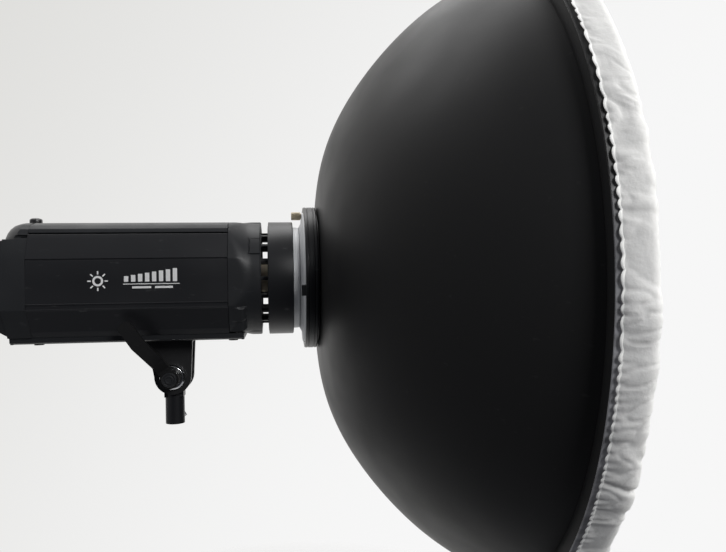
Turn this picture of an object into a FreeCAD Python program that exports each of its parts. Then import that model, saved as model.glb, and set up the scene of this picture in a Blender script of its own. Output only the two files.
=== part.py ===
"""Monolight strobe on its tilting stand head, with a 700 mm beauty dish and a fabric diffuser.

The origin is the centre of the stand socket's mouth.  X runs forward along the strobe, Z is up,
and the strobe's own axis is parallel to X at the height axis_height.  All sizes are millimetres.
"""

import FreeCAD, Part
import math
import operator
import os
from types import SimpleNamespace

import Sketcher
from FreeCAD import Placement, Rotation, Vector

DIMENSIONS = {
    # stand head: socket, tongue and tilt pivot
    "socket_radius": 10.5,
    "socket_bore": 8.05,
    "socket_depth": 31,
    "socket_top": 33.4,
    "pivot_height": 54,
    "tongue_radius": 15,
    "tongue_half": 8.4,
    "cheek_inside": 10,
    "cheek_outside": 15,
    "cheek_radius": 20,
    "axle_radius": 5,
    "running_gap": 0.05,
    "lever_tilt": 34,
    "lever_half_width": 7.25,
    "lever_reach": 69.75,
    # strobe housing, measured from its axis
    "axis_height": 162,
    "half_width": 64,
    "top_height": 62,
    "base_depth": 66,
    "shell_rear": -137,
    "shell_front": 64.8,
    "cap_rear": -161,
    "bezel_rear": -171,
    "vent_rear": 99,
    "vent_front": 107,
    "ring_radius": 64,
    "ring_front": 134.4,
    "wall": 2.5,
    # bayonet between the strobe and the dish
    "bayonet_radius": 57.7,
    "bayonet_front": 141,
    "bayonet_bore": 55.2,
    "claw_radius": 54.7,
    "neck_radius": 50,
    "neck_bore": 47,
    # dish
    "disc_radius": 75,
    "disc_rear": 145,
    "disc_front": 148,
    "hub_radius": 80.7,
    "hub_rear": 146.6,
    "hub_front": 160,
    "bowl_radius": 333.4,
    "flange_radius": 348.8,
    "lip_radius": 350,
    "lip_rear": 345.3,
    "lip_front": 373,
    "sheet": 1.2,
    "screw_circle": 71,
    "deflector_radius": 95,
    "deflector_place": 232,
}

# The bowl's back follows x = BOWL_START + sum of BOWL_POWERS[n] * (r / bowl_radius) ** n.
BOWL_START = 161.5
BOWL_POWERS = {2: -17.1, 4: 508.9, 6: -614.2, 8: 308.4}

SIGNS = {"+": operator.add, "-": operator.sub, "*": operator.mul, "/": operator.truediv}


class Size:
    """A length: its number, and the formula of spreadsheet names that it follows."""

    def __init__(self, number, formula):
        self.number = number
        self.formula = formula

    def __add__(self, other):
        return joined(self, "+", other)

    def __radd__(self, other):
        return joined(other, "+", self)

    def __sub__(self, other):
        return joined(self, "-", other)

    def __rsub__(self, other):
        return joined(other, "-", self)

    def __mul__(self, other):
        return joined(self, "*", other)

    def __rmul__(self, other):
        return joined(other, "*", self)

    def __truediv__(self, other):
        return joined(self, "/", other)

    def __neg__(self):
        return joined(0, "-", self)


def as_size(value):
    """A plain number as a Size, so that both kinds can be mixed."""
    return value if isinstance(value, Size) else Size(float(value), repr(round(float(value), 6)))


def joined(left, sign, right):
    """The Size of one operation between two sizes or numbers."""
    left, right = as_size(left), as_size(right)
    number = SIGNS[sign](left.number, right.number)
    return Size(number, f"({left.formula} {sign} {right.formula})")


doc = FreeCAD.newDocument("monolight_strobe")
sheet = doc.addObject("Spreadsheet::Sheet", "Sizes")
for row, (alias, number) in enumerate(DIMENSIONS.items(), start=1):
    sheet.set(f"A{row}", alias)
    sheet.set(f"B{row}", str(number))
    sheet.setAlias(f"B{row}", alias)
doc.recompute()
D = SimpleNamespace(**{alias: Size(float(n), f"Sizes.{alias}") for alias, n in DIMENSIONS.items()})

DIRECTIONS = {
    "x": Rotation(Vector(0, 1, 0), 90),
    "y": Rotation(Vector(1, 0, 0), -90),
    "z": Rotation(),
}
nodes = {}


# ---------------------------------------------------------------- building blocks

def bind(thing, name, value):
    """Tie one property of an object to the sheet."""
    thing.setExpression(name, as_size(value).formula)


def place(thing, at=(0, 0, 0), turn=None):
    """Put an object at a place whose three numbers follow the sheet."""
    spot = [as_size(value) for value in at]
    thing.Placement = Placement(Vector(*[size.number for size in spot]), turn or Rotation())
    for letter, size in zip("xyz", spot):
        thing.setExpression(f"Placement.Base.{letter}", size.formula)
    return thing


def cylinder(radius, length, at, axis="z", span=360, turn=None):
    """A round bar that starts at a point and runs along one axis."""
    bar = doc.addObject("Part::Cylinder", "bar")
    bind(bar, "Radius", radius)
    bind(bar, "Height", length)
    bar.Angle = span
    return place(bar, at, (turn or Rotation()) * DIRECTIONS[axis])


def sphere(radius, at):
    """A ball about a point."""
    ball = doc.addObject("Part::Sphere", "ball")
    bind(ball, "Radius", radius)
    return place(ball, at)


def torus(ring_radius, bar_radius, at, axis="z"):
    """A round ring about an axis."""
    ring = doc.addObject("Part::Torus", "ring")
    bind(ring, "Radius1", ring_radius)
    bind(ring, "Radius2", bar_radius)
    return place(ring, at, DIRECTIONS[axis])


def box(low, high, turn=None):
    """A block between its lowest and highest corners."""
    block = doc.addObject("Part::Box", "block")
    for name, start, end in zip(("Length", "Width", "Height"), low, high):
        bind(block, name, end - as_size(start))
    return place(block, low, turn)


def fuse(*things):
    """Several shapes made into one solid."""
    union = doc.addObject("Part::MultiFuse", "union")
    union.Shapes = list(things)
    union.Refine = True
    return union


def cut(base, *tools):
    """A shape with others taken away."""
    result = doc.addObject("Part::Cut", "cut")
    result.Base = base
    result.Tool = tools[0] if len(tools) == 1 else fuse(*tools)
    return result


def common(first, second):
    """What two shapes share."""
    result = doc.addObject("Part::Common", "shared")
    result.Base = first
    result.Tool = second
    return result


def group(things):
    """Separate like solids kept together as one node."""
    compound = doc.addObject("Part::Compound", "group")
    compound.Links = list(things)
    return compound


def pipe(outer, inner, length, at, axis="x"):
    """A tube with a through bore."""
    bore = cylinder(inner, as_size(length) + 2, shifted(at, axis, -1), axis)
    return cut(cylinder(outer, length, at, axis), bore)


def shifted(at, axis, amount):
    """A place moved along one axis."""
    return tuple(value + amount if letter == axis else value for letter, value in zip("xyz", at))


def draw(sketch, corners):
    """A closed straight-sided outline whose corners follow the sheet."""
    spots = [(as_size(x), as_size(y)) for x, y in corners]
    first = sketch.GeometryCount
    for here, there in zip(spots, spots[1:] + spots[:1]):
        ends = [Vector(x.number, y.number, 0) for x, y in (here, there)]
        sketch.addGeometry(Part.LineSegment(*ends), False)
    for index, (x, y) in enumerate(spots):
        following = first + (index + 1) % len(spots)
        sketch.addConstraint(Sketcher.Constraint("Coincident", first + index, 2, following, 1))
        for kind, size in (("DistanceX", x), ("DistanceY", y)):
            rule = Sketcher.Constraint(kind, -1, 1, first + index, 1, size.number)
            number = sketch.addConstraint(rule)
            sketch.setExpression(f"Constraints[{number}]", size.formula)


def sketched_body(label, plane, outlines):
    """A PartDesign body with one sketch on one of its own origin planes."""
    body = doc.addObject("PartDesign::Body", label + "_body")
    sketch = body.newObject("Sketcher::SketchObject", label + "_outline")
    support = [item for item in body.Origin.OriginFeatures if item.Role == plane + "_Plane"]
    sketch.AttachmentSupport = [(support[0], "")]
    sketch.MapMode = "FlatFace"
    for corners in outlines:
        draw(sketch, corners)
    return body, sketch


def extruded(label, plane, outlines, length, at=(0, 0, 0), symmetric=False, turn=None):
    """Outlines on an origin plane padded to a length, to one side or to both."""
    body, sketch = sketched_body(label, plane, outlines)
    pad = body.newObject("PartDesign::Pad", label + "_pad")
    pad.Profile = sketch
    bind(pad, "Length", length)
    if symmetric:
        pad.SideType = "Symmetric"
    return place(body, at, turn)


def turned(label, corners, at=(0, 0, 0), turn=None):
    """An outline of (place along X, radius) turned about the body's own X axis."""
    body, sketch = sketched_body(label, "XZ", [corners])
    spin = body.newObject("PartDesign::Revolution", label + "_turn")
    spin.Profile = sketch
    axis = [item for item in body.Origin.OriginFeatures if item.Role == "X_Axis"]
    spin.ReferenceAxis = (axis[0], [""])
    spin.Angle = 360
    return place(body, at, turn)


def mirrored(half):
    """A closed outline from its right half, listed from the top down."""
    return list(half) + [(-y, z) for y, z in reversed(half)]


def channel(outside, inside):
    """A closed outline of an open channel, from the right halves of its two faces."""
    other_side = [(-y, z) for y, z in inside]
    return mirrored(outside) + other_side + list(reversed(inside))


def around(count, start=0.0):
    """Evenly spaced angles about the strobe's axis, in degrees from +Y towards +Z."""
    return [start + 360.0 * step / count for step in range(count)]


def on_circle(x, radius, angle, along=0):
    """A place at a radius about the strobe's axis, and a distance along the circle's tangent."""
    across, up = math.cos(math.radians(angle)), math.sin(math.radians(angle))
    return x, radius * across - along * up, D.axis_height + radius * up + along * across


def roll(angle):
    """The turn about X that carries +Y to an angle about the axis."""
    return Rotation(Vector(1, 0, 0), angle)


def arc_block(outer, inner, length, x, angle, span):
    """Part of a ring about the strobe's axis, centred on an angle."""
    at = (x, 0, D.axis_height)
    sector = cylinder(outer, length, at, "x", span, roll(angle + 90 - span / 2))
    return cut(sector, cylinder(inner, as_size(length) + 2, shifted(at, "x", -1), "x"))


def spoke(x, length, inner, depth, width, angle):
    """A block about the strobe's axis: its length along X, radial depth and width."""
    block = doc.addObject("Part::Box", "spoke")
    for name, value in (("Length", length), ("Width", depth), ("Height", width)):
        bind(block, name, value)
    return place(block, on_circle(x, inner, angle, -width / 2), roll(angle))


def node(name, thing):
    """Name the object that is written to its own file."""
    thing.Label = name
    nodes[name] = thing
    return thing


def feature(name, shape):
    """A sub-part whose shape is set directly, placed on the strobe's axis."""
    part = doc.addObject("Part::Feature", name + "_shape")
    part.Shape = shape
    return node(name, place(part, (0, 0, D.axis_height)))


# ---------------------------------------------------------------- stand head

PIVOT = (0, 0, D.pivot_height)
SCREW_HEIGHT = 16
SCREW_RADIUS = 3
SADDLE_TOP = D.axis_height - D.base_depth


def stand_socket():
    """Socket for a 5/8 inch stand spigot, with the tongue that the strobe tilts on."""
    tube = cylinder(D.socket_radius, D.socket_top, (0, 0, 0))
    boss = cylinder(6, 14, (0, 0, SCREW_HEIGHT), "y")
    neck_low = (-D.socket_radius, -D.tongue_half, D.socket_depth - 1)
    neck = box(neck_low, (D.socket_radius, D.tongue_half, D.pivot_height))
    eye = cylinder(D.tongue_radius, D.tongue_half * 2, (0, -D.tongue_half, D.pivot_height), "y")
    spigot = cylinder(D.socket_bore, D.socket_depth + 1, (0, 0, -1))
    axle = cylinder(D.axle_radius + D.running_gap, 24, (0, -12, D.pivot_height), "y")
    thread = cylinder(SCREW_RADIUS + D.running_gap, 16, (0, 0, SCREW_HEIGHT), "y")
    node("stand_socket", cut(fuse(tube, boss, neck, eye), spigot, axle, thread))


def socket_screw():
    """Clamp screw on the far side of the socket, with its tee bar."""
    shank = cylinder(SCREW_RADIUS, 12.4, (0, 8.6, SCREW_HEIGHT), "y")
    head = cylinder(5, 9, (0, 19.5, SCREW_HEIGHT), "y")
    bar_radius, bar_half = 2.4, 15.5
    lean = Rotation(Vector(0, 1, 0), 150)
    start = lean.multVec(Vector(0, 0, -bar_half))
    at = (start.x, 24, SCREW_HEIGHT + start.z)
    bore = cylinder(bar_radius + D.running_gap, 2 * bar_half, at, "z", turn=lean)
    node("socket_screw", cut(fuse(shank, head), bore))
    node("socket_tee_bar", cylinder(bar_radius, 2 * bar_half, at, "z", turn=lean))


def tilt_yoke():
    """Forked bracket under the strobe: a saddle plate and two cheeks with round ends."""
    radius, saddle = D.cheek_radius, SADDLE_TOP - D.pivot_height
    outline = [(-radius, 0), (radius, 0), (radius + 2, saddle), (-46, saddle), (-45.5, saddle - 7),
               (-41, saddle - 11.5), (-30, saddle - 18.2), (-22.5, saddle - 28.5)]
    sides = extruded("yoke", "XZ", [outline], D.cheek_outside * 2, PIVOT, symmetric=True)
    ends = cylinder(radius, D.cheek_outside * 2, (0, -D.cheek_outside, D.pivot_height), "y")
    slot = box((-50, -D.cheek_inside, 20), (50, D.cheek_inside, SADDLE_TOP - 4))
    hole = cylinder(D.axle_radius + D.running_gap, 60, (0, -30, D.pivot_height), "y")
    node("tilt_yoke", cut(fuse(sides, ends), slot, hole))
    screws = []
    for x in (-26, -6, 13):
        head = cylinder(4.2, 3, (x, 0, SADDLE_TOP - 7), "z")
        shank = cylinder(2.5, 14.5, (x, 0, SADDLE_TOP - 4.5), "z")
        screws.append(fuse(head, shank))
    node("saddle_screws", group(screws))


def tilt_clamp():
    """Axle, friction discs, chrome collar and far nut of the tilt pivot."""
    bore = D.axle_radius + D.running_gap
    node("tilt_axle", cylinder(D.axle_radius, 61, (0, -36, D.pivot_height), "y"))
    discs = [pipe(14, bore, 1.4, (0, y, D.pivot_height), "y") for y in (-9.95, 8.55)]
    node("friction_discs", group(discs))
    toward_viewer = Rotation(Vector(0, 0, 1), -90)
    collar = [(0, bore), (0, 13.8), (4.4, 13.8), (6, 12.2), (6, bore)]
    collar_at = (0, -D.cheek_outside, D.pivot_height)
    node("chrome_collar", turned("collar", collar, collar_at, toward_viewer))
    flats, nut_height = 17, 8
    corner = flats / math.sqrt(3)
    hexagon = [(corner * math.cos(math.radians(a)), corner * math.sin(math.radians(a)))
               for a in range(0, 360, 60)]
    nut_at = (0, D.cheek_outside + nut_height / 2, D.pivot_height)
    nut = extruded("nut", "XZ", [hexagon], nut_height, nut_at, symmetric=True)
    node("axle_nut", cut(nut, cylinder(bore, 60, (0, 0, D.pivot_height), "y")))


def lock_lever():
    """Clamp lever: a round hub and a straight arm cranked outwards past the housing."""
    turn = Rotation(Vector(0, 1, 0), -DIMENSIONS["lever_tilt"])
    side = [(-28, 0), (-28, 14), (-34, 25), (-59.5, 51), (-59.5, 80), (-65.5, 80), (-65.5, 49),
            (-41, 22), (-36, 12), (-36, 0)]
    crank = extruded("crank", "YZ", [side], 30, PIVOT, symmetric=True, turn=turn)
    width, reach = D.lever_half_width, D.lever_reach
    plan = [(-width, 0), (width, 0), (width, reach), (-width, reach)]
    bar = extruded("bar", "XZ", [plan], 160, PIVOT, symmetric=True, turn=turn)
    tip = turn.multVec(Vector(0, -80, DIMENSIONS["lever_reach"]))
    tip_at = (tip.x, tip.y, D.pivot_height + tip.z)
    arm = common(crank, fuse(bar, cylinder(width, 100, tip_at, "y")))
    hub = cylinder(10, 18, (0, -39.4, D.pivot_height), "y")
    bore = cylinder(D.axle_radius + D.running_gap, 16, (0, -36.6, D.pivot_height), "y")
    node("lock_lever", cut(fuse(arm, hub), bore))
    cap = [(0, 0), (0, 8), (1.6, 8), (2.4, 7), (2.4, 4.4), (1.2, 4.4), (1.2, 0)]
    cap_at = (0, -39.4, D.pivot_height)
    node("lever_cap", turned("cap", cap, cap_at, Rotation(Vector(0, 0, 1), -90)))


# ---------------------------------------------------------------- strobe housing

HOOD_AXIS = -104
HOOD_BASE = 43.5
HOOD_RADIUS = 70
PANEL_REAR, PANEL_FRONT = -166, -163.6


def ridge(z):
    """The four corners of a raised line along the housing's side, from the top down."""
    side, proud, half = D.half_width, D.half_width + 0.6, 0.6
    return [(side, z + half), (proud, z + half), (proud, z - half), (side, z - half)]


def shell_outline():
    """Outer section of the extruded housing: slanted shoulders, flat sides and lower facets."""
    seam = [(D.half_width, 22.6), (D.half_width - 0.9, 22.2), (D.half_width - 0.9, 21.4),
            (D.half_width, 21)]
    half = [(54.3, 48.4), (56, 44.3), *seam, *ridge(-24), *ridge(-29.5), (50, -52.7), (45, -59)]
    return mirrored(half)


def shell_hollow():
    """Inner section of the extruded housing."""
    side = D.half_width - D.wall
    return mirrored([(50, 45.9), (53.4, 43.4), (side, 21.8), (side, -29.2), (47.8, -51), (43, -56.5)])


def cap_section(inset):
    """Full section of the moulded end caps, drawn in by an inset all round."""
    top, side, base = D.top_height - inset, D.half_width - inset, -59 + inset
    return mirrored([
        (30, top), (38, top - 0.7), (46 - inset, top - 3.2), (51.5 - inset, 54 - inset / 2),
        (56 - inset, 44.3), (side, 22 - inset / 4), (side, inset / 3 - 29.5),
        (50 - inset * 0.8, inset * 0.5 - 52.7), (46 - inset, base),
    ])


def on_axis(x=0):
    """A place on the strobe's own axis."""
    return x, 0, D.axis_height


def covers():
    """The extruded shell and the long covers clipped along its top and underside."""
    length = D.shell_front - D.shell_rear
    outlines = [shell_outline(), shell_hollow()]
    node("body_shell", extruded("shell", "YZ", outlines, length, on_axis(D.shell_rear)))
    top = D.top_height
    outside = [(50.3, 48.4), (50.3, 49.8), (53, 49.8), (51.5, 54), (46, 58.8), (38, 61.3), (30, top)]
    inside = [(47.6, 48.4), (47.6, 52), (44.5, 56), (37, 58.6), (30, top - D.wall)]
    lid = channel(outside, inside)
    node("top_cover", extruded("top", "YZ", [lid], length, on_axis(D.shell_rear)))
    low = -D.base_depth
    outside = [(44.5, -59), (44, -64), (41, low + 0.6), (38, low)]
    inside = [(41.5, -59), (41.5, -62), (37, low + D.wall)]
    tray = extruded("tray", "YZ", [channel(outside, inside)], 240, on_axis(-160))
    ends = [box((x, -41.5, D.axis_height - 66), (x + 2.5, 41.5, D.axis_height - 59))
            for x in (-160, 77.5)]
    pads = [cylinder(5, 3, (x, y, SADDLE_TOP - 1.5)) for x in (-135, 68) for y in (-30, 30)]
    node("bottom_cover", fuse(tray, *ends, *pads))


def hood(inset):
    """Rounded hood at the top of the rear cap, turned about an upright axis, drawn in by an inset."""
    profile = [(D.top_height, 50), (61, 56), (59, 61), (55.5, 65), (51, 68), (46, HOOD_RADIUS)]
    rim = [(height - inset, radius - inset) for height, radius in profile]
    base = HOOD_BASE - inset
    corners = [(base, 0), (D.top_height - inset, 0), *rim, (base, HOOD_RADIUS - inset)]
    upright = Rotation(Vector(0, 1, 0), -90)
    return turned("hood", corners, on_axis(HOOD_AXIS), upright)


def cap_solid(inset, rear, front):
    """The rear cap as a solid: squared below, rounded above, and drawn in by an inset."""
    low, high = D.axis_height - 70, D.axis_height + HOOD_BASE - inset
    section = extruded("cap", "YZ", [cap_section(inset)], front - as_size(-180), on_axis(-180))
    return common(section, fuse(box((rear, -70, low), (front, 70, high)), hood(inset)))


def panel_outline(inset):
    """Outline of the rear panel, drawn in by an inset."""
    return mirrored([(49 - inset, 33 - inset), (57 - inset, 20), (57 - inset, -26),
                     (45 - inset, inset - 49)])


def rear_cap():
    """Moulded rear cap with a rounded hood at the top, and the bezel behind it."""
    outer = cap_solid(0, D.cap_rear, D.shell_rear)
    skin = cut(outer, cap_solid(3, D.cap_rear - 2, D.shell_rear + 2))
    base = D.axis_height + HOOD_BASE
    floor = common(outer, box((-180, -70, base), (D.cap_rear + 3, 70, base + 3)))
    slots = [box((-154.5, y, base + 1.5), (-136, y + 12, base + 4.5)) for y in (-64, 52)]
    node("rear_cap", cut(fuse(skin, floor), *slots))
    side = D.half_width - 0.8
    section = mirrored([(54, 42.4), (side, 21.8), (side, -29.2), (49.4, -52.2), (46, -57)])
    depth = D.cap_rear - D.bezel_rear
    plug = extruded("bezel_outer", "YZ", [section], depth, on_axis(D.bezel_rear))
    rear = D.bezel_rear
    edge = [(D.cap_rear, 43), (rear + 6, 41), (rear + 2, 36), (rear, 28), (rear, -44), (rear + 3, -52),
            (D.cap_rear, -57)]
    shaped = common(plug, extruded("bezel_edge", "XZ", [edge], 160, on_axis(), symmetric=True))
    opening = extruded("bezel_hole", "YZ", [panel_outline(0)], 20, on_axis(rear - 5))
    node("rear_bezel", cut(shaped, opening))


def rear_handle():
    """Round bow handle across the top of the bezel."""
    bar, arm_y, bend = 4.4, 36, 10
    height, back, root = D.axis_height + 37.6, PANEL_REAR - 35, PANEL_REAR + 1
    corner_x, corner_y = back + bend, arm_y - bend
    pieces = [cylinder(bar, 2 * corner_y, (back, -corner_y, height), "y")]
    for side, start in ((1, 90), (-1, 180)):
        pieces.append(cylinder(bar, root - corner_x, (corner_x, side * arm_y, height), "x"))
        bow = torus(bend, bar, (corner_x, side * corner_y, height))
        bow.Angle3 = 90
        bow.Placement.Rotation = Rotation(Vector(0, 0, 1), start)
        pieces.append(bow)
    node("rear_handle", fuse(*pieces))


# ---------------------------------------------------------------- rear controls

DIAL = (26, 12)
BUTTONS = {"test_button": -36, "lamp_button": -20, "sound_button": -4}
BUTTON_Z = -8
JACK = (26, -14)
ROCKER = (-34, -34)
FUSE = (32, -36)
PANEL_SCREWS = ((-44, 28), (44, 28), (-50, -22), (50, -22))


def panel_bar(radius, rear, front, spot):
    """A round bar through the rear panel at (across, up) from the axis."""
    return cylinder(radius, front - rear, (rear, spot[0], D.axis_height + spot[1]), "x")


def panel_block(rear, front, low, high):
    """A block through the rear panel between two (across, up) corners."""
    return box((rear, low[0], D.axis_height + low[1]), (front, high[0], D.axis_height + high[1]))


def rear_panel():
    """Control panel with its openings, the display window and the board behind it."""
    blank = extruded("panel", "YZ", [panel_outline(0.2)], PANEL_FRONT - PANEL_REAR, on_axis(PANEL_REAR))
    through = (PANEL_REAR - 1, PANEL_FRONT + 1)
    holes = [panel_bar(3.3, *through, DIAL), panel_bar(5.05, *through, JACK),
             panel_bar(5.55, *through, FUSE)]
    holes += [panel_bar(4.3, *through, (y, BUTTON_Z)) for y in BUTTONS.values()]
    y, z = ROCKER
    holes.append(panel_block(*through, (y - 6.2, z - 10.4), (y + 6.2, z + 10.4)))
    holes.append(panel_block(*through, (-14, -47), (14, -27)))
    node("rear_panel", cut(blank, *holes))
    node("display_window", panel_block(PANEL_REAR - 1.5, PANEL_REAR, (-40, 5), (2, 24)))
    rear, front = PANEL_REAR + 8, PANEL_REAR + 9.6
    board = panel_block(rear, front, (-46, -20), (46, 28))
    node("control_board", cut(board, panel_bar(5.6, rear - 1, front + 1, JACK)))
    heads = [panel_bar(2.6, PANEL_REAR - 1.6, PANEL_REAR, spot) for spot in PANEL_SCREWS]
    node("panel_screws", group(heads))


def rear_controls():
    """Dial, buttons, power rocker, mains inlet, fuse and sync socket."""
    knob = panel_bar(12, PANEL_REAR - 12, PANEL_REAR - 0.4, DIAL)
    node("power_dial", fuse(knob, panel_bar(3, PANEL_REAR - 1, PANEL_REAR + 7, DIAL)))
    for name, y in BUTTONS.items():
        node(name, panel_bar(4, PANEL_REAR - 3, PANEL_REAR + 5.5, (y, BUTTON_Z)))
    y, z = ROCKER
    side = [(-3.8, -9.2), (-2.8, 0), (-3.8, 9.2), (2, 9.2), (5, 3), (5, -3), (2, -9.2)]
    tilt = Rotation(Vector(0, 1, 0), -8)
    rocker_at = (PANEL_REAR + 2, y, D.axis_height + z)
    node("power_rocker", extruded("rocker", "XZ", [side], 11.6, rocker_at, symmetric=True, turn=tilt))
    shell = panel_block(PANEL_REAR - 2, PANEL_REAR + 23, (-13.8, -46.8), (13.8, -27.2))
    recess = panel_block(PANEL_REAR - 3, PANEL_REAR + 19, (-11.8, -45), (11.8, -29))
    pins = [panel_block(PANEL_REAR + 7, PANEL_REAR + 20, (y - 1, -39), (y + 1, -35)) for y in (-7, 0, 7)]
    node("mains_inlet", fuse(cut(shell, recess), *pins))
    node("fuse_body", panel_bar(5.5, PANEL_REAR, PANEL_REAR + 19, FUSE))
    node("fuse_cap", panel_bar(6.5, PANEL_REAR - 4, PANEL_REAR - 0.3, FUSE))
    nut = panel_bar(7, PANEL_REAR - 2, PANEL_REAR, JACK)
    barrel = panel_bar(5, PANEL_REAR - 2, PANEL_REAR + 18, JACK)
    bore = panel_bar(3.2, PANEL_REAR - 3, PANEL_REAR + 14, JACK)
    node("sync_socket", cut(fuse(nut, barrel), bore))


def slave_dome():
    """Dark cap of the slave sensor, on a short neck on top of the rear cap."""
    profile = [(0, 0), (0, 5.9), (1.2, 5.9), (1.2, 6.7), (6, 6.7), (7.2, 5.8), (7.7, 4), (7.7, 0)]
    upright = Rotation(Vector(0, 1, 0), -90)
    at = (-146.6, 0, D.axis_height + D.top_height)
    node("slave_dome", turned("dome", profile, at, upright))


# ---------------------------------------------------------------- strobe front

CLAWS = (90, 210, 330)
CLAW_SPAN = 34
LATCH_ANGLE = -48


def front_cap():
    """Moulded cap that runs from the faceted housing to the round vent, with lower side rails."""
    start, end, round_radius = D.shell_front, D.vent_rear, D.ring_radius
    prism = extruded("cap_front", "YZ", [cap_section(0)], end - start, on_axis(start))
    blend = [(start, 0), (start, 76), (start + 9, 71.5), (start + 19, 66.5), (start + 26, round_radius),
             (end, round_radius), (end, 0)]
    rails = common(extruded("rail_front", "YZ", [cap_section(0)], 19, on_axis(start)),
                   box((start, -70, D.axis_height - 62), (start + 19, 70, D.axis_height - 36)))
    skin = fuse(common(prism, turned("blend", blend, on_axis())), rails)
    hollow = cylinder(57, end - start, (start + 3, 0, D.axis_height), "x")
    opening = cylinder(45, 10, (start - 2, 0, D.axis_height), "x")
    node("front_cap", cut(skin, hollow, opening))


def vent_cage():
    """Two rings and sixteen posts that hold the front ring off the cap and leave the vent open."""
    rear = pipe(56.9, 46, 3.5, on_axis(D.vent_rear - 3))
    front = pipe(59.8, 46, 2.4, on_axis(D.vent_front + 0.1))
    posts = [spoke(D.vent_rear, 8.3, 46, 5.5, 4.6, angle) for angle in around(16)]
    node("vent_cage", fuse(rear, front, *posts))


def front_ring():
    """Front ring of the housing, and the aluminium bayonet socket screwed into it."""
    length = D.ring_front - D.vent_front
    tube = pipe(D.ring_radius, 60, length, on_axis(D.vent_front))
    slot = spoke(113, 17, 58, 8, 5, LATCH_ANGLE)
    node("front_ring", cut(tube, slot))
    bore, front = D.bayonet_bore, D.bayonet_front
    ring = [(128, bore), (128, 59.8), (D.ring_front, 59.8), (D.ring_front, D.bayonet_radius),
            (front, D.bayonet_radius), (front, bore)]
    lugs = [arc_block(bore + 0.5, 50.5, 4, 133.2, angle, CLAW_SPAN) for angle in CLAWS]
    node("bayonet_socket", fuse(turned("bayonet", ring, on_axis()), *lugs))
    button = spoke(116, 9, D.ring_radius + 0.3, 3.5, 11, LATCH_ANGLE)
    stem = spoke(118, 4, 57.5, 8, 4.4, LATCH_ANGLE)
    shoe = spoke(115, 11, 57, 2.6, 9, LATCH_ANGLE)
    node("release_latch", fuse(button, stem, shoe))


def lamps():
    """Front plate, glass dome, ring flash tube, lamp holder and modelling lamp."""
    axis = D.axis_height
    plate = pipe(59.8, 15.8, 1.8, on_axis(109.6))
    node("lamp_plate", plate)
    outer = fuse(cylinder(42, 38.6, (111.4, 0, axis), "x"), sphere(42, (150, 0, axis)))
    inner = fuse(cylinder(40, 46, (104, 0, axis), "x"), sphere(40, (150, 0, axis)))
    node("glass_dome", cut(outer, inner))
    legs = [cylinder(2.5, 26, (111.4, y, axis), "x") for y in (-30, 30)]
    node("flash_tube", fuse(torus(30, 4.5, (138, 0, axis), "x"), *legs))
    node("lamp_holder", cylinder(15.5, 38, (82, 0, axis), "x"))
    node("modelling_lamp", fuse(cylinder(9, 14, (120, 0, axis), "x"), sphere(15, (145, 0, axis))))


# ---------------------------------------------------------------- inside the housing

FAN_Z = -6
CAN_RADIUS = 17.5
CANS = [(y, z) for y in (-20, 20) for z in (-36, 0)]


def electronics():
    """Capacitor bank in its clamp, the main board and the trigger coil."""
    axis = D.axis_height
    cans = [cylinder(CAN_RADIUS, 78, (-52, y, axis + z), "x") for y, z in CANS]
    node("capacitors", group(cans))
    strap = box((-8, -41, axis - 55), (0, 41, axis + 19.5))
    holes = [cylinder(CAN_RADIUS + 0.1, 20, (-14, y, axis + z), "x") for y, z in CANS]
    node("capacitor_clamp", cut(strap, *holes))
    board = box((-115, -49, axis + 26), (50, 49, axis + 27.6))
    parts = [box((x, -30, axis + 27.5), (x + 26, 22, axis + 40)) for x in (-100, -58, -16)]
    node("main_board", fuse(board, *parts))
    node("trigger_coil", cylinder(12, 22, (34, 0, axis - 18), "x"))


def fan():
    """Cooling fan: frame with a fixed shaft, and a bladed rotor that turns on it."""
    rear, depth = -118, 15
    centre = D.axis_height + FAN_Z
    frame = cut(box((rear, -30, centre - 30), (rear + depth, 30, centre + 30)),
                cylinder(28.6, depth + 2, (rear - 1, 0, centre), "x"))
    hub = cylinder(10, 2.4, (rear, 0, centre), "x")
    struts = [box((rear, -29, centre - 1.5), (rear + 2.4, 29, centre + 1.5)),
              box((rear, -1.5, centre - 29), (rear + 2.4, 1.5, centre + 29))]
    shaft = cylinder(1.5, 12, (rear, 0, centre), "x")
    node("fan_frame", fuse(frame, hub, *struts, shaft))
    hub_rear = rear + 3
    blades = []
    for angle in range(0, 360, 45):
        pitch = roll(angle) * Rotation(Vector(0, 1, 0), 32)
        blade = doc.addObject("Part::Box", "blade")
        blade.Length, blade.Width, blade.Height = 9, 18.5, 1.4
        corner = pitch.multVec(Vector(-4.5, 9, -0.7))
        blades.append(place(blade, (hub_rear + 5.5 + corner.x, corner.y, centre + corner.z), pitch))
    core = cylinder(10.5, 11, (hub_rear, 0, centre), "x")
    bore = cylinder(1.5 + D.running_gap, 9.5, (hub_rear - 0.1, 0, centre), "x")
    node("fan_rotor", cut(fuse(core, *blades), bore))


# ---------------------------------------------------------------- dish

HUB_SCREWS = around(6, 15)
SCREW_ANGLE = 90
RODS = (60, 180, 300)


def bowl_back(radius):
    """Place along X of the bowl's back at a radius."""
    share = radius / D.bowl_radius.number
    return BOWL_START + sum(size * share ** power for power, size in BOWL_POWERS.items())


def bowl_front(radius):
    """The point of the bowl's inside that lies one sheet thickness in from its back."""
    step = 0.01
    slope = (bowl_back(radius + step) - bowl_back(radius - step)) / (2 * step)
    scale = D.sheet.number / math.hypot(1, slope)
    return Vector(bowl_back(radius) + scale, 0, radius - slope * scale)


def spline(points):
    """A smooth edge through points."""
    curve = Part.BSplineCurve()
    curve.interpolate(points)
    return curve.toShape()


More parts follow.
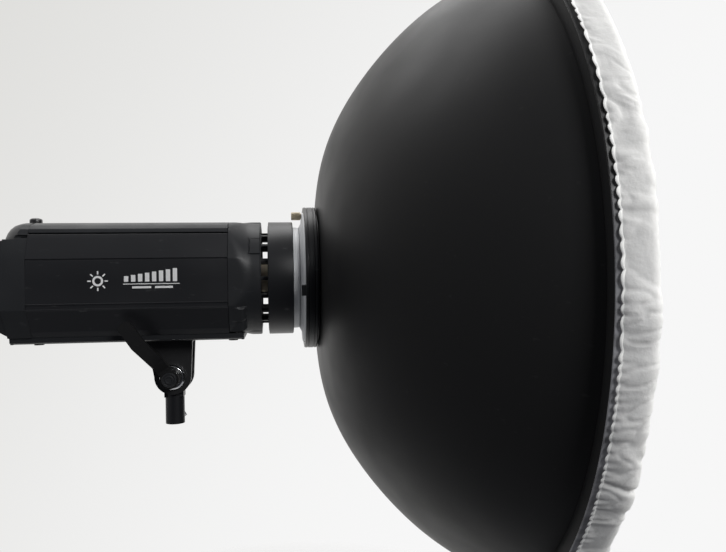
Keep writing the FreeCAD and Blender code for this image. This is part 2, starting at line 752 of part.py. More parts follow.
def dish_bowl():
    """Spun bowl with a flat hub opening and a narrow outer flange."""
    first, last, count = 60.0, D.bowl_radius.number, 12
    radii = [first + (last - first) * step / count for step in range(count + 1)]
    back = [Vector(bowl_back(radius), 0, radius) for radius in radii]
    front = [bowl_front(radius) for radius in radii]
    edge_x, edge_r, sheet_gauge = D.lip_rear.number + 0.1, D.flange_radius.number - 0.05, D.sheet.number
    flange = [back[-1], Vector(edge_x, 0, edge_r), Vector(edge_x + sheet_gauge, 0, edge_r),
              Vector(back[-1].x + sheet_gauge, 0, last - 0.4), front[-1]]
    edges = [spline(back), Part.makePolygon(flange), spline(front), Part.makePolygon([front[0], back[0]])]
    pieces = [edge for shape in edges for edge in shape.Edges]
    outline = Part.Wire(Part.__sortEdges__(pieces))
    bowl = Part.Face(outline).revolve(Vector(0, 0, 0), Vector(1, 0, 0), 360)
    feature("dish_bowl", bowl)


def dish_rim():
    """Lip band round the bowl's mouth, with the return that stiffens it."""
    gauge, rear, front = D.sheet, D.lip_rear, D.lip_front
    inside = D.lip_radius - gauge
    corners = [(rear, inside), (rear, D.lip_radius), (front, D.lip_radius), (front, 344),
               (front - gauge, 344), (front - gauge, inside)]
    node("lip_band", turned("lip", corners, on_axis()))


def adapter():
    """Aluminium adapter ring: claws, neck and bevelled flange, with its rim tab."""
    neck, rear, front = D.neck_radius, D.disc_rear, D.disc_front
    corners = [(128.6, D.neck_bore), (128.6, neck), (D.bayonet_front + 0.6, neck),
               (D.bayonet_front + 0.6, 58), (rear, 63), (rear, D.disc_radius), (front, D.disc_radius),
               (front, D.neck_bore)]
    claws = [arc_block(D.claw_radius, neck - 0.5, 4.2, 128.6, angle, CLAW_SPAN) for angle in CLAWS]
    bore = cylinder(2 + D.running_gap, 8, on_circle(rear - 2, D.screw_circle, SCREW_ANGLE), "x")
    node("adapter_ring", cut(fuse(turned("adapter", corners, on_axis()), *claws), bore))
    node("rim_tab", spoke(D.hub_rear - 4.6, 4.6, 75.6, 4.4, 11, 189.6))


def hub():
    """Black hub plate that carries the bowl, and the screws that hold them together."""
    front, recess = D.hub_front, D.disc_radius + 0.3
    corners = [(front, 62), (front, D.hub_radius - 1), (front - 1, D.hub_radius),
               (D.hub_rear, D.hub_radius), (D.hub_rear, recess), (D.disc_front + 0.05, recess),
               (D.disc_front + 0.05, 62)]
    bore = cylinder(2 + D.running_gap, 12, on_circle(D.hub_rear, D.screw_circle, SCREW_ANGLE), "x")
    seat = pipe(74, 62, 1.3, on_axis(front))
    node("hub_plate", cut(fuse(turned("hub", corners, on_axis()), seat), bore))
    screws = []
    for angle in HUB_SCREWS:
        shank = cylinder(2, 12, on_circle(152, 68, angle), "x")
        screws.append(fuse(shank, cylinder(3.5, 2.2, on_circle(162.95, 68, angle), "x")))
    node("hub_screws", group(screws))


def thumb_screw():
    """Knurled screw at the top that clamps the adapter to the hub plate."""
    rear = D.disc_rear
    knob = cylinder(4.4, 11.2, on_circle(rear - 11.5, D.screw_circle, SCREW_ANGLE), "x")
    stem = cylinder(2, 12.6, on_circle(rear - 0.6, D.screw_circle, SCREW_ANGLE), "x")
    node("thumb_screw", fuse(knob, stem))


def deflector():
    """Round deflector plate on three rods in the middle of the bowl."""
    place_x, edge = D.deflector_place, D.deflector_radius
    corners = [(place_x, 0), (place_x, edge - 3), (place_x - 2.5, edge), (place_x - 1, edge + 0.6),
               (place_x + 1.5, edge - 2.4), (place_x + 1.5, 0)]
    node("deflector", turned("deflector", corners, on_axis()))
    rods = []
    for angle in RODS:
        rods.append(cylinder(3, place_x - 163, on_circle(163, 68, angle), "x"))
    node("deflector_rods", group(rods))


def diffuser():
    """Fabric diffuser sock stretched over the lip, with its elasticated hem."""
    outer = [(354, 352.5), (374, 352.4), (377.5, 351.2), (379.6, 348), (380.4, 343), (381.5, 300),
             (383.5, 200), (385, 100), (385.5, 0)]
    inner = [(384.3, 0), (383.8, 100), (382.3, 200), (380.3, 300), (379.2, 343), (378.4, 347.4),
             (376.8, 350.1), (373.6, 351.2), (354, 351.3)]
    node("diffuser_sock", turned("sock", outer + inner, on_axis()))
    hem_at = on_axis(352.1)
    node("sock_hem", torus(352.1, 1.9, hem_at, "x"))


# ---------------------------------------------------------------- build and export

def check():
    """Stop if any object failed or any sub-part has no valid solid."""
    for thing in doc.Objects:
        if "Invalid" in thing.State or "Error" in thing.State:
            raise SystemExit(f"{thing.Label} failed: {thing.State}")
    for name, thing in nodes.items():
        shape = thing.Shape
        if shape.isNull() or not shape.isValid() or not shape.Solids:
            raise SystemExit(f"{name} has no valid solid")
        if min(solid.Volume for solid in shape.Solids) <= 0:
            raise SystemExit(f"{name} has an empty solid")


SECTIONS = (stand_socket, socket_screw, tilt_yoke, tilt_clamp, lock_lever, covers, rear_cap,
            rear_handle, rear_panel, rear_controls, slave_dome, front_cap, vent_cage,
            front_ring, lamps, electronics, fan, dish_bowl, dish_rim, adapter, hub, thumb_screw,
            deflector, diffuser)
for section in SECTIONS:
    section()
doc.recompute()
check()
os.makedirs("parts", exist_ok=True)
for name, thing in nodes.items():
    thing.Shape.exportStep(os.path.join("parts", name + ".step"))
print(f"{len(nodes)} sub-parts written")
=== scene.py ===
import math

import bmesh
import bpy
import numpy as np
from mathutils import Matrix, Vector, noise


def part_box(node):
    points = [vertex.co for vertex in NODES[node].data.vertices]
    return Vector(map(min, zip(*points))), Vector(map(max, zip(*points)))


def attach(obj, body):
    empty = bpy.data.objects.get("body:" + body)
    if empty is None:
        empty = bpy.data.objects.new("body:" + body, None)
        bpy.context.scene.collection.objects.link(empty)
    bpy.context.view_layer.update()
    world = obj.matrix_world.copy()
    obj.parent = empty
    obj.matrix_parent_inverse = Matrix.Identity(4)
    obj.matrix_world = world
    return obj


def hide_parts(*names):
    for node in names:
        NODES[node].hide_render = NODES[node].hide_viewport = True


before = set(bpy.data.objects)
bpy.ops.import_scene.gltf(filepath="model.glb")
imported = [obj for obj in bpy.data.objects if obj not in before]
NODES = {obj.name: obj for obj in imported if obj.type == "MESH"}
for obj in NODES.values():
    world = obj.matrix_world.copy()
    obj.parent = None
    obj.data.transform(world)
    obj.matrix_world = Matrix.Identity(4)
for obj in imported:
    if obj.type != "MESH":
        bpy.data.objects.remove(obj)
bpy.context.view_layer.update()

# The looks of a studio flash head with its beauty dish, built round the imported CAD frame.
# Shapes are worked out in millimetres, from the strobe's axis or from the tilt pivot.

MM = 0.001


def middle(node):
    """Centre of a CAD node's box, in millimetres."""
    low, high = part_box(node)
    return (low + high) / 2 / MM


AXIS = (0, 0, middle("dish_bowl").z)
PIVOT = (0, 0, middle("tilt_axle").z)
HALF_WIDTH = 64.0
SHELL_REAR, SHELL_FRONT = (corner.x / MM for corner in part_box("body_shell"))
VENT_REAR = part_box("front_cap")[1].x / MM
LIP_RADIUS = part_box("lip_band")[1].y / MM
LIP_REAR, LIP_FRONT = (corner.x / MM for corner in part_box("lip_band"))


# ------------------------------------------------------------------ materials

class Finish:
    """One procedural material: a Principled shader with noise-driven detail."""

    def __init__(self, name, colour, roughness, metallic=0.0, **scalars):
        self.material = bpy.data.materials.new(name)
        self.material.use_nodes = True
        self.tree = self.material.node_tree
        self.shader = self.tree.nodes["Principled BSDF"]
        self.colour = (*colour, 1.0)
        self.roughness = roughness
        self.shader.inputs["Base Color"].default_value = self.colour
        self.shader.inputs["Roughness"].default_value = roughness
        self.shader.inputs["Metallic"].default_value = metallic
        for socket, value in scalars.items():
            self.shader.inputs[socket.replace("_", " ")].default_value = value
        self.place = self.tree.nodes.new("ShaderNodeTexCoord").outputs["Object"]
        self.height = None

    def node(self, kind, inputs=(), **settings):
        made = self.tree.nodes.new("ShaderNode" + kind)
        for key, value in settings.items():
            setattr(made, key, value)
        for key, value in dict(inputs).items():
            if isinstance(value, bpy.types.NodeSocket):
                self.tree.links.new(value, made.inputs[key])
            else:
                made.inputs[key].default_value = value
        return made

    def maths(self, operation, first, second=0.0):
        return self.node("Math", {0: first, 1: second}, operation=operation).outputs[0]

    def stretched(self, stretch):
        """The object's coordinates, scaled along each axis."""
        return self.node("Mapping", {"Vector": self.place, "Scale": stretch}).outputs[0]

    def noise(self, scale, detail=3.0, stretch=(1, 1, 1)):
        """Noise with about scale cells to the metre."""
        inputs = {"Vector": self.stretched(stretch), "Scale": scale, "Detail": detail}
        return self.node("TexNoise", inputs).outputs["Fac"]

    def ranged(self, value, low, high, start=0.3, end=0.7):
        """A value from one range carried to another."""
        inputs = {"Value": value, "From Min": start, "From Max": end, "To Min": low, "To Max": high}
        return self.node("MapRange", inputs).outputs["Result"]

    def tint(self, factor, other, share=1.0):
        """Mixes the colour so far with another, by a factor from 0 to 1."""
        base = self.shader.inputs["Base Color"]
        before = base.links[0].from_socket if base.links else self.colour
        factor = self.maths("MULTIPLY", factor, share)
        mix = self.node("Mix", {0: factor, 6: before, 7: (*other, 1.0)}, data_type="RGBA")
        self.tree.links.new(mix.outputs[2], base)
        return self

    def uneven(self, scale, spread, stretch=(1, 1, 1)):
        """Roughness that drifts a little over the surface."""
        value = self.ranged(self.noise(scale, 4, stretch), self.roughness - spread, self.roughness + spread)
        self.tree.links.new(value, self.shader.inputs["Roughness"])
        return self

    def bump(self, height, depth):
        """A height field, in metres of depth for a range of 1, laid over any earlier one."""
        inputs = {"Height": height, "Distance": depth, "Strength": 1.0}
        if self.height is not None:
            inputs["Normal"] = self.height
        self.height = self.node("Bump", inputs).outputs["Normal"]
        self.tree.links.new(self.height, self.shader.inputs["Normal"])
        return self

    def radius(self):
        """Distance from the strobe's axis and place along it, in metres."""
        parts = self.node("SeparateXYZ", {0: self.place}).outputs
        up = self.maths("SUBTRACT", parts["Z"], AXIS[2] * MM)
        square = self.maths("ADD", self.maths("MULTIPLY", up, up), self.maths("MULTIPLY", parts["Y"], parts["Y"]))
        return self.maths("SQRT", square), parts["X"]


def worn(finish, wear, share=0.5):
    """Pale scuffs where thresholded noise peaks, in long thin and small round patches."""
    scuffs = finish.ranged(finish.noise(210, 8, (0.35, 1, 1)), 0, 1, 0.66, 0.76)
    dust = finish.ranged(finish.noise(1500, 2), 0, 1, 0.72, 0.80)
    finish.tint(scuffs, wear, share)
    finish.tint(dust, wear, share * 0.5)
    return finish


def painted(name, colour, roughness, grain=1800, depth=0.00002, wear=0.12, gloss=0.5, share=0.3):
    """Paint or powder coat: a fine pebble, drifting gloss and a few pale scuffs."""
    finish = Finish(name, colour, roughness, Specular_IOR_Level=gloss)
    finish.uneven(14, 0.05)
    finish.bump(finish.noise(grain, 2), depth)
    return worn(finish, (wear, wear, wear), share).material


def lip_with_painted_reflection(name, colour, reflection_grey):
    """Paint on the lip, with a painted grey reflection along the line where the elastic rides, low on its sides.
    """
    finish = Finish(name, colour, 0.42, Specular_IOR_Level=0.25)
    parts = finish.node("SeparateXYZ", {0: finish.place}).outputs
    along = finish.ranged(parts["X"], 0, 1, 0.3420, 0.3432)
    height = finish.ranged(parts["Z"], 1, 0, 0.13, 0.24)
    reflection_band = finish.maths("MULTIPLY", along, height)
    patchy = finish.ranged(finish.noise(120, 5, (0.3, 1, 1)), 0.45, 1)
    # Painted reflection: grey mixed into the paint along the lip, full low down and fading out towards the top,
    # with patchy edges.
    finish.tint(finish.maths("MULTIPLY", reflection_band, patchy), reflection_grey)
    finish.uneven(60, 0.08)
    return finish.bump(finish.noise(1500, 2), 0.00002).material


def moulded(name, colour, roughness, depth=0.00003):
    """Moulded plastic with a spark-eroded texture."""
    finish = Finish(name, colour, roughness, Specular_IOR_Level=0.3)
    cells = finish.node("TexVoronoi", {"Vector": finish.place, "Scale": 1300}).outputs["Distance"]
    finish.uneven(30, 0.06)
    finish.bump(cells, depth)
    lighter = tuple(min(1, c * 1.6 + 0.01) for c in colour)
    finish.tint(finish.ranged(finish.noise(9, 3), 0, 1), lighter, 0.35)
    return worn(finish, tuple(min(1, c * 2 + 0.05) for c in colour), 0.2).material


def lathed(name, colour, roughness, metallic=1.0):
    """Turned metal: fine grooves round the strobe's axis and an anisotropic gleam."""
    finish = Finish(name, colour, roughness, metallic, Anisotropic=0.2)
    radius, along = finish.radius()
    spot = finish.node("CombineXYZ", {"X": finish.maths("MULTIPLY", along, 4000.0),
                                      "Y": finish.maths("MULTIPLY", radius, 4000.0)}).outputs[0]
    grooves = finish.node("TexNoise", {"Vector": spot, "Scale": 1.0, "Detail": 2.0}).outputs["Fac"]
    finish.uneven(40, 0.06)
    finish.bump(grooves, 0.000012)
    finish.tint(finish.ranged(finish.noise(60, 5), 0, 1, 0.5, 0.8), tuple(c * 0.7 for c in colour), 0.5)
    return finish.material


def plated(name, colour, roughness, tarnish):
    """Plated or bare metal with small smudges and hairline scratches."""
    finish = Finish(name, colour, roughness, 1.0)
    finish.uneven(120, 0.08)
    finish.tint(finish.ranged(finish.noise(300, 5), 0, 1, 0.5, 0.75), tarnish, 0.6)
    finish.bump(finish.noise(900, 4, (0.1, 1, 1)), 0.00001)
    return finish.material


def enamelled(name, colour, roughness):
    """White enamel with a faint orange peel and a little yellowing."""
    finish = Finish(name, colour, roughness, Coat_Weight=0.3)
    finish.uneven(25, 0.05)
    finish.bump(finish.noise(420, 2), 0.00003)
    return finish.tint(finish.ranged(finish.noise(8, 4), 0, 1), (0.80, 0.78, 0.70), 0.3).material


def glassy(name, colour, roughness, transmission):
    """Glass or a clear moulding: frosted by a fine grain."""
    finish = Finish(name, colour, roughness, Transmission_Weight=transmission, IOR=1.48)
    finish.uneven(50, roughness * 0.3)
    finish.bump(finish.noise(2600, 2), 0.00001)
    finish.tint(finish.ranged(finish.noise(35, 4), 0, 1), tuple(c * 0.85 for c in colour), 0.4)
    return finish.material


def glossy(name, colour, roughness):
    """Smooth moulded plastic with a thin coat and fingerprints in its gloss."""
    finish = Finish(name, colour, roughness, Coat_Weight=0.4, Coat_Roughness=0.12)
    finish.uneven(90, 0.08)
    finish.bump(finish.noise(700, 2), 0.000008)
    return worn(finish, tuple(min(1, c * 1.5 + 0.08) for c in colour), 0.15).material


def woven(name, colour, threads=2100, translucency=0.45):
    """Thin plain-weave cloth, partly lit through from behind, with soft patches of painted crease shade in its
    tone.
    """
    finish = Finish(name, colour, 0.85, Sheen_Weight=0.25, Sheen_Roughness=0.4)
    along = finish.radius()[1]
    parts = finish.node("SeparateXYZ", {0: finish.place}).outputs
    warp = finish.maths("SINE", finish.maths("MULTIPLY", parts["Y"], threads * math.pi))
    weft = finish.maths("SINE", finish.maths("MULTIPLY", parts["Z"], threads * math.pi))
    round_it = finish.maths("SINE", finish.maths("MULTIPLY", along, threads * math.pi))
    cloth = finish.maths("ADD", finish.maths("MULTIPLY", warp, weft), round_it)
    finish.bump(cloth, 0.000008)
    finish.bump(finish.noise(70, 5), 0.0014)
    # Painted shade: soft darker patches in the cloth's tone, standing in for the shade of its creases; they also
    # colour the light let through.
    finish.tint(finish.ranged(finish.noise(45, 6), 0, 1), tuple(c * 0.92 for c in colour), 0.6)
    tint = finish.shader.inputs["Base Color"].links[0].from_socket
    through = finish.node("BsdfTranslucent", {"Color": tint, "Normal": finish.height})
    mix = finish.node("MixShader", {0: translucency, 1: finish.shader.outputs[0], 2: through.outputs[0]})
    finish.tree.links.new(mix.outputs[0], finish.tree.nodes["Material Output"].inputs["Surface"])
    return finish.material


def circuit(name):
    """Solder-mask green with lighter tracks and pale pads."""
    finish = Finish(name, (0.02, 0.13, 0.05), 0.35, Coat_Weight=0.5)
    tracks = finish.node("TexBrick", {"Vector": finish.stretched((1, 1, 1)), "Scale": 160.0,
                                      "Mortar Size": 0.06}).outputs["Fac"]
    finish.tint(tracks, (0.05, 0.30, 0.12), 0.8)
    finish.bump(tracks, 0.00005)
    pads = finish.node("TexVoronoi", {"Vector": finish.place, "Scale": 260.0}).outputs["Distance"]
    return finish.tint(finish.ranged(pads, 1, 0, 0.12, 0.16), (0.70, 0.68, 0.62), 0.9).material


def lit(name, colour, strength):
    """A lit segment behind a diffusing film."""
    finish = Finish(name, colour, 0.5, Emission_Strength=strength, Emission_Color=(*colour, 1.0))
    finish.uneven(200, 0.05)
    return finish.tint(finish.noise(900, 2), tuple(c * 0.8 for c in colour), 0.5).material


M = {
    "satin_black": painted("satin_black", (0.012, 0.0125, 0.0145), 0.38, gloss=0.4),
    "bracket_black": painted("bracket_black", (0.016, 0.016, 0.017), 0.42, 1100, 0.00004),
    "powder_black": painted("powder_black", (0.0135, 0.0135, 0.014), 0.44, 1500, 0.00003, gloss=0.13, share=0.06),
    # Lip paint with a painted grey reflection low on its sides.
    "lip_paint": lip_with_painted_reflection("lip_paint", (0.012, 0.012, 0.0125), (0.34, 0.34, 0.36)),
    "moulded_black": moulded("moulded_black", (0.017, 0.018, 0.020), 0.42),
    "panel_black": moulded("panel_black", (0.022, 0.023, 0.026), 0.38, 0.00001),
    "brushed_alu": lathed("brushed_alu", (0.76, 0.77, 0.78), 0.62, 0.35),
    "chrome": plated("chrome", (0.86, 0.87, 0.88), 0.10, (0.70, 0.71, 0.72)),
    "bright_steel": plated("bright_steel", (0.60, 0.60, 0.61), 0.30, (0.42, 0.41, 0.40)),
    "knurled_brass": plated("knurled_brass", (0.60, 0.53, 0.40), 0.32, (0.35, 0.27, 0.16)),
    "fibre": moulded("fibre", (0.16, 0.09, 0.05), 0.7),
    "white_enamel": enamelled("white_enamel", (0.86, 0.86, 0.85), 0.35),
    "opal_glass": glassy("opal_glass", (0.95, 0.95, 0.93), 0.30, 0.85),
    "ceramic": moulded("ceramic", (0.78, 0.66, 0.50), 0.7),
    "window": glossy("window", (0.012, 0.010, 0.012), 0.12),
    "control_grey": moulded("control_grey", (0.10, 0.105, 0.115), 0.45),
    "rocker_red": glossy("rocker_red", (0.40, 0.02, 0.015), 0.25),
    "socket_black": glossy("socket_black", (0.018, 0.018, 0.019), 0.3),
    "board_green": circuit("board_green"),
    "can_sleeve": glossy("can_sleeve", (0.02, 0.04, 0.14), 0.3),
    "fan_black": moulded("fan_black", (0.025, 0.025, 0.026), 0.5),
    "copper": plated("copper", (0.70, 0.35, 0.20), 0.35, (0.45, 0.20, 0.12)),
    "lit_red": lit("lit_red", (0.90, 0.05, 0.02), 1.6),
    "print_white": moulded("print_white", (0.80, 0.80, 0.80), 0.5, 0.000005),
    "white_cloth": woven("white_cloth", (0.86, 0.86, 0.85)),
    "hem_cloth": woven("hem_cloth", (0.88, 0.88, 0.87), 2600, 0.30),
}

# CAD nodes that are shown as they are, by material.
CARRIED = {
    "satin_black": "stand_socket",
    "bracket_black": "tilt_yoke",
    "moulded_black": "bottom_cover release_latch rim_tab rear_bezel",
    "powder_black": "lock_lever",
    "panel_black": "rear_panel",
    "window": "display_window",
    "bright_steel": "tilt_axle axle_nut saddle_screws hub_screws panel_screws socket_screw "
                    "socket_tee_bar deflector_rods",
    "fibre": "friction_discs",
    "white_enamel": "deflector lamp_plate",
    "opal_glass": "glass_dome flash_tube modelling_lamp",
    "ceramic": "lamp_holder",
    "rocker_red": "power_rocker",
    "socket_black": "mains_inlet fuse_body fuse_cap sync_socket",
    "board_green": "main_board control_board",
    "can_sleeve": "capacitors",
    "fan_black": "fan_frame fan_rotor capacitor_clamp",
    "copper": "trigger_coil",
}
for finish_name, names in CARRIED.items():
    for node_name in names.split():
        for material_slot in NODES[node_name].material_slots:
            material_slot.material = M[finish_name]


# ------------------------------------------------------------------ mesh building

def rounded(corners, steps=5, closed=True):
    """An outline from corners (a, b) or (a, b, radius), its corners turned into short arcs."""
    count = len(corners)
    points = []
    for index, corner in enumerate(corners):
        here = Vector(corner[:2])
        radius = corner[2] if len(corner) > 2 else 0
        if radius == 0 or (not closed and index in (0, count - 1)):
            points.append(here)
            continue
        before = Vector(corners[index - 1][:2]) - here
        after = Vector(corners[(index + 1) % count][:2]) - here
        half = before.angle(after) / 2
        run = min(radius / math.tan(half), 0.48 * before.length, 0.48 * after.length)
        bulge = run * math.tan(half)
        start, end = here + before.normalized() * run, here + after.normalized() * run
        centre = here + (before.normalized() + after.normalized()).normalized() * bulge / math.sin(half)
        first, last = start - centre, end - centre
        turn = first.angle_signed(last)
        for step in range(steps + 1):
            points.append(centre + Matrix.Rotation(-turn * step / steps, 2) @ first)
    return [tuple(point) for point in points]


def grid_faces(rows, columns, wrap_rows=False, wrap_columns=False, start=0):
    """Quads over a grid of points stored row by row."""
    faces = []
    for row in range(rows if wrap_rows else rows - 1):
        below = start + row * columns
        above = start + (row + 1) % rows * columns
        for column in range(columns if wrap_columns else columns - 1):
            beside = (column + 1) % columns
            faces.append((below + column, below + beside, above + beside, above + column))
    return faces


def about_axis(x, radius, angle):
    """A point at a place along the axis and a radius, at an angle in radians from +Y to +Z."""
    return x, radius * math.cos(angle), radius * math.sin(angle)


def lathe(outline, count=192):
    """A closed outline of (x, radius) turned about the strobe's axis."""
    angles = [2 * math.pi * step / count for step in range(count)]
    points = [about_axis(x, radius, angle) for x, radius in outline for angle in angles]
    return points, grid_faces(len(outline), count, True, True)


def prism(outline, start, end, bevel=0.4):
    """A closed outline of (y, z) drawn along X, with bevelled ends."""
    loop = [Vector(point) for point in outline]
    count = len(loop)
    inward = []
    for index, point in enumerate(loop):
        along = loop[(index + 1) % count] - loop[index - 1]
        inward.append(Vector((-along.y, along.x)).normalized())
    area = sum(a.x * b.y - b.x * a.y for a, b in zip(loop, loop[1:] + loop[:1]))
    side = bevel if area > 0 else -bevel
    small = [point + step * side for point, step in zip(loop, inward)]
    rings = [(start, small), (start + bevel, loop), (end - bevel, loop), (end, small)]
    points = [(x, p.x, p.y) for x, ring in rings for p in ring]
    faces = grid_faces(4, count, False, True)
    faces.append(tuple(range(count))[::-1])
    faces.append(tuple(range(3 * count, 4 * count)))
    return points, faces


def moved(part, matrix):
    """A part's points carried by a matrix, in millimetres."""
    points, faces = part
    return [tuple(matrix @ Vector(point)) for point in points], faces


def piece(name, parts, body, materials, replaces=(), origin=AXIS, sharp=32):
    """One named object from parts of (points, faces[, material number]), in millimetres."""
    points, faces, numbers = [], [], []
    for part in parts:
        base = len(points)
        points += [tuple((Vector(p) + Vector(origin)) * MM) for p in part[0]]
        faces += [tuple(base + corner for corner in face) for face in part[1]]
        numbers += [part[2] if len(part) > 2 else 0] * len(part[1])
    data = bpy.data.meshes.new(name)
    data.from_pydata(points, [], faces)
    for material in materials:
        data.materials.append(M[material])
    data.polygons.foreach_set("material_index", numbers)
    data.validate()
    outward(data)
    data.shade_smooth()
    data.set_sharp_from_angle(angle=math.radians(sharp))
    made = bpy.data.objects.new(name, data)
    bpy.context.scene.collection.objects.link(made)
    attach(made, body)
    if replaces:
        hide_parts(*replaces)
    return made


def outward(data):
    """Turns every closed part's faces outwards."""
    shape = bmesh.new()
    shape.from_mesh(data)
    bmesh.ops.recalc_face_normals(shape, faces=shape.faces)
    shape.to_mesh(data)
    shape.free()


# ------------------------------------------------------------------ dish

BOWL_START, BOWL_RADIUS, BOWL_HOLE = 161.5, 333.4, 60.0
BOWL_POWERS = {2: -17.1, 4: 508.9, 6: -614.2, 8: 308.4}
FLANGE_RADIUS = 348.75
GAUGE = 1.2


def bowl_back(radius):
    """Place along X of the bowl's back at a radius."""
    share = radius / BOWL_RADIUS
    return BOWL_START + sum(size * share ** power for power, size in BOWL_POWERS.items())


def dish_bowl():
    """Spun bowl: black outside, white inside, with a rolled crease where the flange begins."""
    rings = 72
    back, front = [], []
    for step in range(rings + 1):
        radius = BOWL_HOLE + (BOWL_RADIUS - BOWL_HOLE) * step / rings
        slope = (bowl_back(radius + 0.01) - bowl_back(radius - 0.01)) / 0.02
        run = GAUGE / math.hypot(1, slope)
        back.append((bowl_back(radius), radius))
        front.append((bowl_back(radius) + run, radius - slope * run))
    crease = [(347.1, 334.6), (346.2, 336.2), (345.7, 338.5)]
    flange = [*crease, (LIP_REAR + 0.1, 342), (LIP_REAR + 0.1, FLANGE_RADIUS)]
    flange_front = [(x + GAUGE, radius) for x, radius in reversed(flange)]
    outside, inside = back + flange, flange_front + front[::-1]
    count = 288
    points, faces = lathe(outside + inside, count)
    outer_faces = (len(outside) - 1) * count
    made = piece("dish_bowl_shell", [(points, faces)], "dish",
                 ["powder_black", "white_enamel"], ["dish_bowl"])
    numbers = [0 if index < outer_faces else 1 for index in range(len(faces))]
    made.data.polygons.foreach_set("material_index", numbers)


def lip_band():
    """Rolled lip round the bowl's mouth."""
    outline = rounded([(LIP_REAR, LIP_RADIUS - GAUGE, 0.3), (LIP_REAR, LIP_RADIUS, 0.5),
                       (LIP_FRONT, LIP_RADIUS, 2.2), (LIP_FRONT, 344, 0.5),
                       (LIP_FRONT - GAUGE, 344, 0.3), (LIP_FRONT - GAUGE, LIP_RADIUS - GAUGE, 1.2)], 4)
    piece("dish_lip", [lathe(outline, 320)], "dish", ["lip_paint"], ["lip_band"])


dish_bowl()
lip_band()


# ------------------------------------------------------------------ strobe housing

HOUSING = [(30, 62, 24), (46, 58.8, 9), (52, 53.5, 4), (56, 44.3, 3), (64, 22, 3), (64, -29.5, 4),
           (50, -52.7, 6), (46, -59, 2)]


def flipped(half):
    """The other side of a half outline."""
    return [(-corner[0], *corner[1:]) for corner in half]


def mirrored(half):
    """A closed outline from its right half, listed from the top down."""
    return half + flipped(half)[::-1]


def hollow_section(half, inside):
    """A closed outline of a wall, from the right halves of its two faces, open at the bottom."""
    return half[::-1] + flipped(half) + flipped(inside)[::-1] + inside


def body_shell():
    """Extruded housing: shoulders, a seam groove, two raised lines a side and lower facets."""
    side = HALF_WIDTH
    lines = []
    for height in (-24, -29.5):
        lines += [(side, height + 0.9, 0.3), (side + 0.6, height + 0.4, 0.25),
                  (side + 0.6, height - 0.4, 0.25), (side, height - 0.9, 0.3)]
    half = [(54.3, 48.4, 0.6), (56, 44.3, 2.5), (side, 22.6, 0.5), (side - 0.9, 22.2, 0.2),
            (side - 0.9, 21.4, 0.2), (side, 21, 0.5), (side + 0.15, 0, 20), *lines, (50, -52.7, 6),
            (45, -59, 1.5), (1, -59)]
    inside = [(50, 45.9), (53.4, 43.4, 2), (side - 2.5, 21.8, 2), (side - 2.5, -29.2, 2), (47.8, -51, 4),
              (43, -56.5, 1), (1, -56.5)]
    shell = prism(rounded(hollow_section(half, inside), 4), SHELL_REAR, SHELL_FRONT, 0.25)
    piece("housing_shell", [shell], "strobe", ["satin_black"], ["body_shell"])


def top_cover():
    """Arched cover clipped along the top of the housing."""
    half = [(30, 62, 26), (46, 58.8, 9), (51.5, 54, 3), (53, 49.8, 0.6), (50.3, 49.8, 0.2), (50.3, 48.4)]
    inside = [(30, 59.5, 24), (44.5, 56, 7), (47.6, 52, 2), (47.6, 48.4)]
    outline = flipped(half)[::-1] + half + inside[::-1] + flipped(inside)
    cover = prism(rounded(outline, 6), SHELL_REAR, SHELL_FRONT, 0.3)
    piece("housing_top", [cover], "strobe", ["moulded_black"], ["top_cover"])


def reach(outline, angle):
    """Distance from the axis to a convex outline of (y, z), along an angle."""
    ray, best = Vector((math.cos(angle), math.sin(angle))), 0.0
    for start, end in zip(outline, outline[1:] + outline[:1]):
        start, edge = Vector(start), Vector(end) - Vector(start)
        across = ray.cross(edge)
        if abs(across) > 1e-9 and -1e-6 <= start.cross(ray) / across <= 1 + 1e-6:
            best = max(best, start.cross(edge) / across)
    return best


def eased(value, start, end):
    """A smooth step from 0 to 1 between two values."""
    share = min(1.0, max(0.0, (value - start) / (end - start)))
    return share * share * (3 - 2 * share)


def front_cap():
    """Moulded cap: eight-sided behind, round in front, with lower rails and a hatch a side."""
    count, radius = 480, 64.0
    start, end = SHELL_FRONT, VENT_REAR
    section = rounded(mirrored(HOUSING), 6)
    angles = [2 * math.pi * step / count for step in range(count)]
    reaches = [reach(section, angle) for angle in angles]
    steps = [0, 0.5, 1.2, 2.5, 4, 6, 8, 10, 12, 13.5, 15, 16.5, 17.6, 18.4, 18.9, 19.1, 19.4, 20, 21, 22,
             22.4, 22.8, 23.4, 24.4, 26, 28, 30, 31.6, 32, 32.4, 33.2, 33.8, 34.2]

    def skin(step, angle, far):
        cone = radius + 11.0 * (1 - eased(step, -9, 26))
        body = far + (radius - far) * eased(step, 2, 26) if far < radius else min(far, cone)
        blend = max(0.0, 2.5 - abs(far - cone)) / 2.5 if far >= radius else 0.0
        body -= blend * blend * 0.6
        low = -far * math.sin(angle)
        if low > 31 and step < 19:
            rail = far - 4.5 * max(0.0, (step - 13.5) / 5.5) ** 2 - 1.6 * eased(low, 45, 47)
            body = max(body, body + (rail - body) * eased(low, 31, 32.5))
        degrees = abs(math.degrees(math.atan2(math.sin(angle), abs(math.cos(angle)))) - 33)
        if math.sin(angle) > 0:
            curved = step + 0.03 * (degrees - 4) ** 2
            hatch = min(eased(curved, 21.8, 23.4), eased(-degrees, -9.8, -8.4))
            body += 0.5 * hatch - 3.6 * hatch * (1 - hatch)
        return body - 0.5 * eased(-step, -0.5, 0) - 0.7 * eased(step, 33.2, 34.2)

    points = [about_axis(start + step, skin(step, angle, far), angle)
              for step in steps for angle, far in zip(angles, reaches)]
    for x, inner in ((end, 57.4), (end - 0.4, 57), (start + 3, 57), (start + 3, 45), (start, 45)):
        points += [about_axis(x, inner, angle) for angle in angles]
    faces = grid_faces(len(steps) + 5, count, True, True)
    piece("housing_front", [(points, faces)], "strobe", ["moulded_black"], ["front_cap"])


